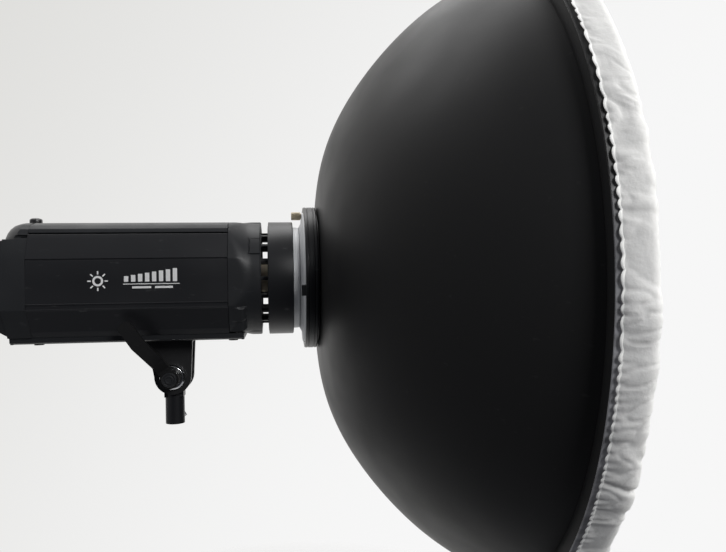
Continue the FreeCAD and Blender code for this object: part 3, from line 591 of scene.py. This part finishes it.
def rear_cap():
    """Moulded rear cap, its hood shaded as one rounded surface."""
    shape = bmesh.new()
    shape.from_mesh(NODES["rear_cap"].data)
    shape.transform(Matrix.Scale(1 / MM, 4) @ NODES["rear_cap"].matrix_world)
    bmesh.ops.remove_doubles(shape, verts=shape.verts, dist=0.01)
    points = [tuple(vertex.co - Vector(AXIS)) for vertex in shape.verts]
    faces = [tuple(vertex.index for vertex in face.verts) for face in shape.faces]
    shape.free()
    cap = piece("housing_rear", [(points, faces)], "strobe", ["moulded_black"],
                ["rear_cap"], sharp=23)
    cap.modifiers.new("even", "WEIGHTED_NORMAL").keep_sharp = True


def arc(outer, inner, start, end, angle, span, count=24):
    """Part of a ring about the axis, centred on an angle in degrees."""
    points = []
    for step in range(count + 1):
        turn = math.radians(angle - span / 2 + span * step / count)
        points += [about_axis(x, radius, turn) for x, radius in
                   ((start, inner), (start, outer), (end, outer), (end, inner))]
    faces = grid_faces(count + 1, 4, False, True)
    return points, faces + [(3, 2, 1, 0), tuple(4 * count + corner for corner in range(4))]


def vent_cage():
    """Two rings and sixteen rounded posts between the cap and the front ring."""
    count = 192
    rear = rounded([(96, 46), (96, 56.9), (99.5, 56.9), (99.5, 46)])
    front = rounded([(106.6, 46), (106.6, 59.8), (109.4, 59.8), (109.4, 46)])
    post = rounded([(51.5, 2.2, 0.8), (51.5, -2.2, 0.8), (46, -2.2, 0.5), (46, 2.2, 0.5)], 3)
    parts = [lathe(rear, count), lathe(front, count)]
    for step in range(16):
        turn = Matrix.Rotation(2 * math.pi * step / 16, 4, "X")
        parts.append(moved(prism(post, 99.2, 107, 0.1), turn))
    piece("vent_posts", parts, "strobe", ["moulded_black"], ["vent_cage"])


def front_metal():
    """Front ring, bright bayonet socket and the adapter ring of the dish."""
    ring = rounded([(107, 60, 0.4), (107, 64, 0.9), (134.4, 64, 1.2), (134.4, 60, 0.3)])
    piece("housing_ring", [lathe(ring)], "strobe", ["satin_black"], ["front_ring"])
    socket = rounded([(128, 55.2), (128, 59.8), (134.4, 59.8), (134.4, 57.7), (139.4, 57.7, 0.3),
                      (139.7, 57.1, 0.1), (140.1, 57.1, 0.1), (140.4, 57.7, 0.3), (141, 57.7, 0.4),
                      (141, 55.2, 0.2)])
    lugs = [arc(55.7, 50.5, 133.2, 137.2, angle, 34) for angle in (90, 210, 330)]
    piece("bayonet_collar", [lathe(socket), *lugs], "strobe", ["brushed_alu"],
          ["bayonet_socket"])
    adapter = rounded([(128.6, 47), (128.6, 50, 0.3), (141.6, 50), (141.6, 57.8, 0.6), (145, 64, 1.2),
                       (145, 73.4, 0.4), (146.3, 75, 0.4), (148, 75, 0.2), (148, 47)])
    claws = [arc(54.7, 49.5, 128.6, 132.8, angle, 34) for angle in (90, 210, 330)]
    piece("adapter_flange", [lathe(adapter), *claws], "dish", ["brushed_alu"],
          ["adapter_ring"])


def hub_plate():
    """Black hub plate with two turned grooves round its rim, and its seat for the bowl."""
    rim = [(146.6, 75.3), (146.6, 80.7, 0.8)]
    for x in (150.2, 156.6):
        rim += [(x - 0.5, 80.7, 0.2), (x - 0.2, 80.1, 0.1), (x + 0.4, 80.1, 0.1), (x + 0.7, 80.7, 0.2)]
    rim += [(160, 80.7, 1.0), (160, 62), (148.05, 62), (148.05, 75.3)]
    seat = [(160, 62), (160, 74), (161.3, 74), (161.3, 62)]
    piece("hub_disc", [lathe(rounded(rim)), lathe(rounded(seat))], "dish",
          ["satin_black"], ["hub_plate"])


# ------------------------------------------------------------------ small turned parts

TOWARD_VIEWER = Matrix.Rotation(-math.pi / 2, 4, "Z")
UPRIGHT = Matrix.Rotation(-math.pi / 2, 4, "Y")


def knurled(radius, depth, teeth, start, end, bevel=0.6):
    """A round grip along X with rounded ridges along its side."""
    outline = []
    for step in range(teeth * 6):
        angle = 2 * math.pi * step / (teeth * 6)
        local = radius - depth * (0.5 - 0.5 * math.cos(teeth * angle)) ** 2
        outline.append((local * math.cos(angle), local * math.sin(angle)))
    return prism(outline, start, end, bevel)


def tube(path, radius, height, count=24):
    """A round bar along a path of (x, y) at one height."""
    points = []
    for index, spot in enumerate(path):
        before, after = path[max(0, index - 1)], path[min(len(path) - 1, index + 1)]
        along = (Vector(after) - Vector(before)).normalized()
        for step in range(count):
            turn = 2 * math.pi * step / count
            out = radius * math.cos(turn)
            points.append((spot[0] + along.y * out, spot[1] - along.x * out, height + radius * math.sin(turn)))
    last = (len(path) - 1) * count
    faces = grid_faces(len(path), count, False, True)
    return points, faces + [tuple(range(count)), tuple(last + step for step in range(count))]


def tilt_hardware():
    """Chrome collar and the ringed cap of the clamp lever."""
    collar = rounded([(15, 5.05), (15, 13.8, 0.4), (19.2, 13.8, 1.0), (21, 12, 0.8), (21, 8.2, 0.3),
                      (20.4, 7.8, 0.2), (20.4, 5.05)])
    piece("collar_ring", [moved(lathe(collar, 96), TOWARD_VIEWER)], "strobe", ["chrome"],
          ["chrome_collar"], PIVOT, 50)
    cap = rounded([(39.4, 0.02), (39.4, 8, 0.2), (41, 8, 0.5), (41.8, 7.2, 0.3), (41.8, 6.2, 0.3),
                   (41.2, 5.8, 0.2), (41.2, 4.9, 0.2), (41.8, 4.5, 0.3), (41.8, 3.2, 0.3), (41.1, 2.8, 0.2),
                   (41.1, 0.02)])
    piece("lever_boss", [moved(lathe(cap, 72), TOWARD_VIEWER)], "lever",
          ["moulded_black"], ["lever_cap"], PIVOT, 50)


def thumb_screw():
    """Knurled clamp screw with a turned neck."""
    spot = Matrix.Translation((0, 0, 71))
    neck = [(143, 0.02), (143, 3.4, 0.2), (144.7, 3.4, 0.2), (144.7, 2, 0.1), (156.4, 2, 0.5),
            (157, 0.02)]
    parts = [knurled(4.6, 0.4, 20, 133.5, 143.9, 0.6), lathe(rounded(neck), 36)]
    piece("clamp_screw", [moved(part, spot) for part in parts], "dish_screw",
          ["knurled_brass"], ["thumb_screw"])


def sensor_cap():
    """Dark cap of the slave sensor on its neck."""
    outline = rounded([(0, 0.02), (0, 5.9, 0.2), (1.2, 5.9, 0.2), (1.2, 6.7, 0.4), (6.4, 6.7, 2.4),
                       (7.7, 3.6, 3), (7.7, 0.02)], 8)
    spot = Matrix.Translation((-146.6, 0, 62)) @ UPRIGHT
    piece("sensor_cap", [moved(lathe(outline, 72), spot)], "strobe", ["socket_black"],
          ["slave_dome"], sharp=50)


def bow_handle():
    """Bow handle behind the bezel, with collars where it enters."""
    root, back, arm = -165, -201, 36
    path = rounded([(root, -arm), (back, -arm, 12), (back, arm, 12), (root, arm)], 12, closed=False)
    collar = rounded([(-172.4, 0.02), (-172.4, 5.2, 0.8), (-168, 5.8, 0.4), (-168, 0.02)])
    collars = [moved(lathe(collar, 48), Matrix.Translation((0, side * arm, 37.6))) for side in (-1, 1)]
    piece("bow_handle", [tube(path, 4.4, 37.6), *collars], "strobe", ["moulded_black"],
          ["rear_handle"], sharp=50)


# ------------------------------------------------------------------ rear controls and printing

PANEL = -166.0
DIAL = (26, 12)
KEYS = {"test": -36, "lamp": -20, "sound": -4}


def at_panel(spot):
    """A move across the rear panel to (across, up) from the axis."""
    return Matrix.Translation((0, *spot))


def dial_and_keys():
    """Knurled power dial with a pointer, and three dished keys."""
    base = rounded([(PANEL - 4, 0.02), (PANEL - 4, 11.4, 0.3), (PANEL - 0.4, 12, 0.4), (PANEL - 0.4, 0.02)])
    face = rounded([(PANEL - 12, 0.02), (PANEL - 12, 7.4, 0.6), (PANEL - 11.6, 8.4, 0.3), (PANEL - 11, 0.02)])
    stem = [(PANEL - 1, 0.02), (PANEL - 1, 3), (PANEL + 7, 3), (PANEL + 7, 0.02)]
    grip = knurled(10.4, 0.8, 24, PANEL - 11.8, PANEL - 3.6, 0.8)
    pointer = [(0.7, 3.5, 0.3), (0.7, 9.2, 0.3), (-0.7, 9.2, 0.3), (-0.7, 3.5, 0.3)]
    mark = prism(rounded(pointer), PANEL - 12.3, PANEL - 11.6, 0.1)
    parts = [grip, lathe(base, 72), lathe(face, 72), lathe(stem, 36), mark]
    parts = [(*moved(part, at_panel(DIAL)), int(part is mark)) for part in parts]
    piece("dial_knob", parts, "dial", ["control_grey", "print_white"], ["power_dial"])
    key = rounded([(PANEL - 2.4, 0.02), (PANEL - 3, 3.2, 0.4), (PANEL - 3, 4, 0.5), (PANEL + 5.5, 4, 0.3),
                   (PANEL + 5.5, 0.02)])
    for name, across in KEYS.items():
        piece(name + "_key_cap", [moved(lathe(key, 48), at_panel((across, -8)))], name + "_key",
              ["control_grey"], [name + "_button"])


def bar(low, high, rear, front):
    """A thin raised bar on a plane of constant X, between two (across, up) corners."""
    (y0, z0), (y1, z1) = low, high
    inset = min(0.25, (y1 - y0) / 3, (z1 - z0) / 3)
    corners = [(y0, z0, inset), (y1, z0, inset), (y1, z1, inset), (y0, z1, inset)]
    return prism(rounded(corners, 3), rear, front, 0.02)


def figures(text, corner, height, rear, front):
    """Seven-segment figures read from behind the panel, whose left is towards +Y."""
    segments = {"0": "abcdef", "5": "acdfg"}
    width, line = height * 0.5, height * 0.1
    half = height / 2
    spots = {"a": (0, height, 1), "b": (width, half, 0), "c": (width, 0, 0), "d": (0, 0, 1), "e": (0, 0, 0),
             "f": (0, half, 0), "g": (0, half, 1)}
    parts = []
    for index, figure in enumerate(text):
        left = corner[0] - index * (width + line * 4)
        for name in segments[figure]:
            across, up, flat = spots[name]
            wide, tall = (width, line) if flat else (line, half)
            y, z = left - across, corner[1] + up
            parts.append(bar((y - wide - line / 2, z), (y - line / 2, z + tall), rear, front) if flat else
                         bar((y - line, z + line / 2), (y, z + tall + line / 2), rear, front))
    return parts


def panel_print():
    """Printed scale, rules and symbols on the rear panel, and the display's lit figures."""
    rear, front = PANEL - 0.12, PANEL + 0.05
    parts = []
    for step in range(11):
        turn = math.radians(225 - 27 * step)
        size = 2.6 if step % 5 == 0 else 1.6
        tick = bar((-0.3, 13.4), (0.3, 13.4 + size), rear, front)
        parts.append(moved(tick, at_panel(DIAL) @ Matrix.Rotation(turn - math.pi / 2, 4, "X")))
    for across in KEYS.values():
        parts.append(bar((across - 4, -15.2), (across + 4, -14.6), rear, front))
    parts.append(bar((-42, 26.4), (6, 26.9), rear, front))
    parts.append(bar((-14, -25.6), (14, -25.1), rear, front))
    for side in (-1, 1):
        parts.append(bar((side * 17.5 - 0.3, -46), (side * 17.5 + 0.3, -29), rear, front))
    ring = [(rear, 8.6), (rear, 9.1), (front, 9.1), (front, 8.6)]
    parts.append(moved(lathe(ring, 64), at_panel((26, -14))))
    piece("panel_print", parts, "strobe", ["print_white"])
    shown = figures("50", (-8, 9), 10, PANEL - 1.62, PANEL - 1.45)
    piece("display_figures", shown, "strobe", ["lit_red"])


def emblem():
    """Plain sun mark, rules and index blocks printed on both sides of the housing."""
    depth = HALF_WIDTH + 0.02, HALF_WIDTH + 0.16
    disc = [(depth[0], 3.2), (depth[0], 5.4), (depth[1], 5.4), (depth[1], 3.2)]
    ray = bar((-0.7, 6.8), (0.7, 10.2), *depth)
    rules = [bar((-1, -5.4), (56, -4.6), *depth)]
    rules += [bar((7 * step, -2.6), (7 * step + 4.4, 3.2 + 1.1 * step), *depth) for step in range(8)]
    rules += [bar((8, -9.6), (27, -7.4), *depth), bar((31, -9.6), (49, -7.4), *depth)]
    sides = []
    for side in (-1, 1):
        turn = Matrix.Rotation(side * math.pi / 2, 4, "Z")
        sun = turn @ Matrix.Translation((0, side * 66, -0.5))
        sides.append(moved(lathe(disc, 64), sun))
        sides += [moved(ray, sun @ Matrix.Rotation(math.pi * step / 4, 4, "X")) for step in range(8)]
        words = turn @ Matrix.Translation((0, side * 40, 1)) @ Matrix.Diagonal((1, -side, 1, 1))
        sides += [moved(rule, words) for rule in rules]
    piece("side_print", sides, "strobe", ["print_white"])


body_shell()
top_cover()
front_cap()
rear_cap()
vent_cage()
front_metal()
hub_plate()
tilt_hardware()
thumb_screw()
sensor_cap()
bow_handle()
dial_and_keys()
panel_print()
emblem()

# CAD nodes with rounded edges, by the rounding's width in millimetres.
EDGE_ANGLE = math.radians(28)
ROUNDED_EDGES = {
    1.4: "tilt_yoke rear_bezel",
    1.0: "lock_lever bottom_cover",
    0.5: "stand_socket socket_screw socket_tee_bar axle_nut tilt_axle rim_tab release_latch fuse_cap "
         "lamp_holder power_rocker deflector fan_frame sync_socket mains_inlet",
    0.2: "rear_panel display_window saddle_screws hub_screws panel_screws deflector_rods friction_discs "
         "lamp_plate capacitors capacitor_clamp trigger_coil fan_rotor control_board main_board",
}
for width, names in ROUNDED_EDGES.items():
    for node_name in names.split():
        edges = NODES[node_name].modifiers.new("edges", "BEVEL")
        edges.width, edges.segments = width * MM, 3
        edges.limit_method, edges.angle_limit = "ANGLE", EDGE_ANGLE
        edges.harden_normals = False


# ------------------------------------------------------------------ diffuser sock

SOCK_COLUMNS = 1440
PLEAT_PITCH = 9.0
HEM_X, HEM_RADIUS = 350.8, 352.0
TURN_X, TURN_RADIUS = 371.5, 9.5
SIDE_RADIUS = 352.6
FRONT_X, FRONT_BOW = 383.8, 3.4


def pleat_phases():
    """Running phase of the gathers round the hem: finer underneath, irregular all round."""
    phases, phase = [], 0.0
    for column in range(SOCK_COLUMNS):
        angle = 2 * math.pi * column / SOCK_COLUMNS
        uneven = noise.noise(Vector((3.1 * math.cos(angle), 3.1 * math.sin(angle), 4.7)))
        jitter = noise.noise(Vector((24 * math.cos(angle), 24 * math.sin(angle), 1.3)))
        finer = 1.0 - 0.3 * math.sin(angle)
        phases.append(phase)
        phase += finer * (1 + 0.5 * uneven + 0.7 * jitter)
    whole = round(2 * math.pi * LIP_RADIUS / PLEAT_PITCH) * math.pi
    return [value / phase * whole for value in phases]


PHASES = pleat_phases()


def puff(phase):
    """Height of a gather, from 0 in its sharp valley to 1 on its round crest."""
    return abs(math.sin(phase)) ** 0.8


def round_noise(angle, cell, x, cell_x, seed):
    """Noise on the cloth's side with cells of a given size round it and along it."""
    size = LIP_RADIUS / cell
    return noise.noise(Vector((size * math.cos(angle), size * math.sin(angle), x / cell_x + seed)))


def front_place(radius):
    """Place along X of the cloth's tight front, which bows gently outwards."""
    return FRONT_X - FRONT_BOW * (radius / LIP_RADIUS) ** 1.6


def slack(angle, x):
    """Slack folds of the side: soft lens-shaped puffs between sharp slanting creases."""
    lean = 0.035 * round_noise(angle, 120, 0, 1, 3.0) * (x - HEM_X) / 10
    angle += lean
    wide = round_noise(angle, 34, x, 60, 8.0)
    sharp = max(0.0, 1 - 3.2 * abs(round_noise(angle, 27, x, 55, 1.0)))
    small = max(0.0, 1 - 3.6 * abs(round_noise(angle, 10, x, 26, 5.0)))
    return 4.2 * wide - 4.0 * sharp * sharp - 1.2 * small * small + 1.2


def side_point(share, angle, column):
    """A point of the side from the hem, at 0, over the lip and round to the front, at 1."""
    straight, bend = TURN_X - HEM_X, TURN_RADIUS * math.pi / 2
    along = share * (straight + bend)
    gather = puff(PHASES[column])
    fade = math.exp(-along / 6.0)
    bulge = math.sin(min(1.0, (along / (straight + bend)) ** 0.8) * math.pi) ** 0.7
    lift = bulge * slack(angle, HEM_X + along) + 1.1 * fade * (gather - 0.4)
    lift = max(lift, -0.9) + 1.0 * bulge
    if along < straight:
        return HEM_X + along - 2.2 * fade * gather, HEM_RADIUS + 0.6 * (1 - fade) + lift
    turn = (along - straight) / TURN_RADIUS
    out = TURN_RADIUS + lift
    return TURN_X + out * math.sin(turn), SIDE_RADIUS - TURN_RADIUS + out * math.cos(turn)


def front_point(radius, angle):
    """A point of the front: short pulls at its edge and a long faint sag inside."""
    edge = max(0.0, (radius - 285) / 65)
    pulls = round_noise(angle, 13, 10 * edge, 40, 6.0)
    spot = Vector((radius * 0.008 * math.cos(angle), radius * 0.008 * math.sin(angle), 2.0))
    return front_place(radius) + 1.3 * edge * pulls + 0.6 * noise.noise(spot) * (1 - edge), radius


def sock():
    """Thin cloth pulled over the lip: gathered at the hem, slack on its side, tight in front."""
    shares = [step / 26 for step in range(27)]
    radii = [338, 332, 325, 316, 304, 290, 270, 245, 215, 180, 140, 95, 45, 6]
    points = []
    for row in range(len(shares) + len(radii)):
        for column in range(SOCK_COLUMNS):
            angle = 2 * math.pi * column / SOCK_COLUMNS
            place = (side_point(shares[row], angle, column) if row < len(shares)
                     else front_point(radii[row - len(shares)], angle))
            points.append(about_axis(*place, angle))
    rows = len(shares) + len(radii)
    faces = grid_faces(rows, SOCK_COLUMNS, False, True)
    centre = len(points)
    points.append((front_place(0), 0, 0))
    last = (rows - 1) * SOCK_COLUMNS
    faces += [(last + c, last + (c + 1) % SOCK_COLUMNS, centre) for c in range(SOCK_COLUMNS)]
    return piece("diffuser_cloth", [(points, faces)], "dish", ["white_cloth"],
                 ["diffuser_sock"], sharp=180)


def sock_hem():
    """The flat sewn edge that holds the elastic, drawn into small teeth by the gathers."""
    section = 10
    points = []
    for column in range(SOCK_COLUMNS):
        angle = 2 * math.pi * column / SOCK_COLUMNS
        crest = puff(PHASES[column])
        wobble = round_noise(angle, 9, 0, 1, 6.0)
        x, radius = side_point(0.0, angle, column)
        for step in range(section):
            turn = 2 * math.pi * step / section
            across = (0.9 + 0.5 * crest + 0.3 * wobble) * math.cos(turn)
            tall = (0.25 + 0.1 * crest) * math.sin(turn)
            points.append(about_axis(x + 0.2 + across, max(351.2, radius + 0.15) + tall, angle))
    faces = grid_faces(SOCK_COLUMNS, section, True, True)
    return piece("diffuser_hem", [(points, faces)], "dish", ["hem_cloth"],
                 ["sock_hem"], sharp=180)


cloth = sock()
hem = sock_hem()


# ------------------------------------------------------------------ stage, light and camera

def studio_floor():
    """A pale round floor that fades into the background."""
    radius, height, centre = 2.2, -0.75, (0.1, 0.75)
    data = bpy.data.meshes.new("studio_floor")
    angles = np.linspace(0, 2 * math.pi, 97)[:-1]
    ring = [(radius * math.cos(angle), radius * math.sin(angle), height) for angle in angles]
    data.from_pydata(ring, [], [tuple(range(len(ring)))])
    floor = bpy.data.objects.new("studio_floor", data)
    bpy.context.scene.collection.objects.link(floor)
    finish = Finish("floor_paper", (0.80, 0.80, 0.79), 0.8)
    finish.tint(finish.ranged(finish.noise(3, 3), 0, 1), (0.77, 0.77, 0.76), 0.5)
    parts = finish.node("SeparateXYZ", {0: finish.place}).outputs
    across = finish.maths("SUBTRACT", parts["X"], centre[0])
    away = finish.maths("SUBTRACT", parts["Y"], centre[1])
    square = finish.maths("ADD", finish.maths("MULTIPLY", across, across),
                          finish.maths("MULTIPLY", away, away))
    faded = finish.ranged(finish.maths("SQRT", square), 0, 1, 0.35, 0.80)
    clear = finish.node("BsdfTransparent")
    mix = finish.node("MixShader", {0: faded, 1: finish.shader.outputs[0], 2: clear.outputs[0]})
    finish.tree.links.new(mix.outputs[0], finish.tree.nodes["Material Output"].inputs["Surface"])
    data.materials.append(finish.material)


def studio_world():
    """A bright room on the far side and a dim one behind the viewer, over a near-white backdrop."""
    world = bpy.data.worlds.new("studio")
    bpy.context.scene.world = world
    world.use_nodes = True
    tree = world.node_tree
    nodes, links = tree.nodes, tree.links
    light = nodes["Background"]
    parts = nodes.new("ShaderNodeSeparateXYZ")
    links.new(nodes.new("ShaderNodeTexCoord").outputs["Generated"], parts.inputs[0])

    def weighted(x, y, z, base):
        total = base
        for socket, weight in zip("XYZ", (x, y, z)):
            step = nodes.new("ShaderNodeMath")
            step.operation = "MULTIPLY_ADD"
            links.new(parts.outputs[socket], step.inputs[0])
            step.inputs[1].default_value = weight
            if isinstance(total, float):
                step.inputs[2].default_value = total
            else:
                links.new(total, step.inputs[2])
            total = step.outputs[0]
        return total

    def ramp(value, stops):
        made = nodes.new("ShaderNodeValToRGB")
        links.new(value, made.inputs[0])
        made.color_ramp.interpolation = "EASE"
        for index, (spot, colour) in enumerate(stops):
            element = made.color_ramp.elements[index] if index < 2 else made.color_ramp.elements.new(spot)
            element.position = spot
            element.color = (*colour, 1)
        return made.outputs[0]

    glow = ramp(weighted(-0.04, 0.42, 0.22, 0.5),
                [(0.07, (0.020, 0.021, 0.025)), (0.85, (1.0, 0.99, 0.975)), (0.30, (0.25, 0.255, 0.27)),
                 (0.62, (0.34, 0.34, 0.345))])
    links.new(glow, light.inputs["Color"])
    light.inputs["Strength"].default_value = 1.0
    backdrop = nodes.new("ShaderNodeBackground")
    links.new(ramp(weighted(0.35, 0.1, -0.2, 0.45), [(0.15, (0.66, 0.655, 0.63)), (0.7, (0.93, 0.93, 0.93))]),
              backdrop.inputs["Color"])
    mix = nodes.new("ShaderNodeMixShader")
    links.new(nodes.new("ShaderNodeLightPath").outputs["Is Camera Ray"], mix.inputs[0])
    links.new(light.outputs[0], mix.inputs[1])
    links.new(backdrop.outputs[0], mix.inputs[2])
    links.new(mix.outputs[0], nodes["World Output"].inputs["Surface"])


def softbox(name, place, target, size, power, colour=(1, 1, 1)):
    """A soft rectangular light aimed at a point."""
    data = bpy.data.lights.new(name, "AREA")
    data.shape = "RECTANGLE"
    data.size, data.size_y = size
    data.energy = power
    data.color = colour
    lamp = bpy.data.objects.new(name, data)
    lamp.location = place
    lamp.rotation_euler = (Vector(target) - Vector(place)).to_track_quat("-Z", "Y").to_euler()
    bpy.context.scene.collection.objects.link(lamp)


def photo_camera():
    """The viewer's camera: near side, a little forward of the stand, level with the strobe."""
    data = bpy.data.cameras.new("photo_camera")
    data.lens, data.sensor_width = 33.35, 36.0
    camera = bpy.data.objects.new("photo_camera", data)
    yaw, pitch, lean = math.radians(-7.24), math.radians(-0.10), math.radians(-0.80)
    turn = (Matrix.Rotation(yaw, 4, "Z") @ Matrix.Rotation(math.pi / 2 + pitch, 4, "X")
            @ Matrix.Rotation(lean, 4, "Z"))
    camera.matrix_world = Matrix.Translation((0.1170, -0.7824, 0.1642)) @ turn
    bpy.context.scene.collection.objects.link(camera)
    bpy.context.scene.camera = camera


studio_floor()
studio_world()
softbox("window_light", (1.7, -0.5, 0.8), (0.37, 0, 0.16), (1.4, 1.4), 38, (1.0, 0.99, 0.97))
softbox("side_light", (0.9, -1.5, 0.95), (0.37, -0.3, 0.2), (0.6, 0.6), 17)
softbox("ceiling_light", (-0.2, 0.5, 1.7), (0, 0, 0.16), (1.6, 1.0), 12)
photo_camera()
bpy.context.scene.view_settings.view_transform = "Standard"
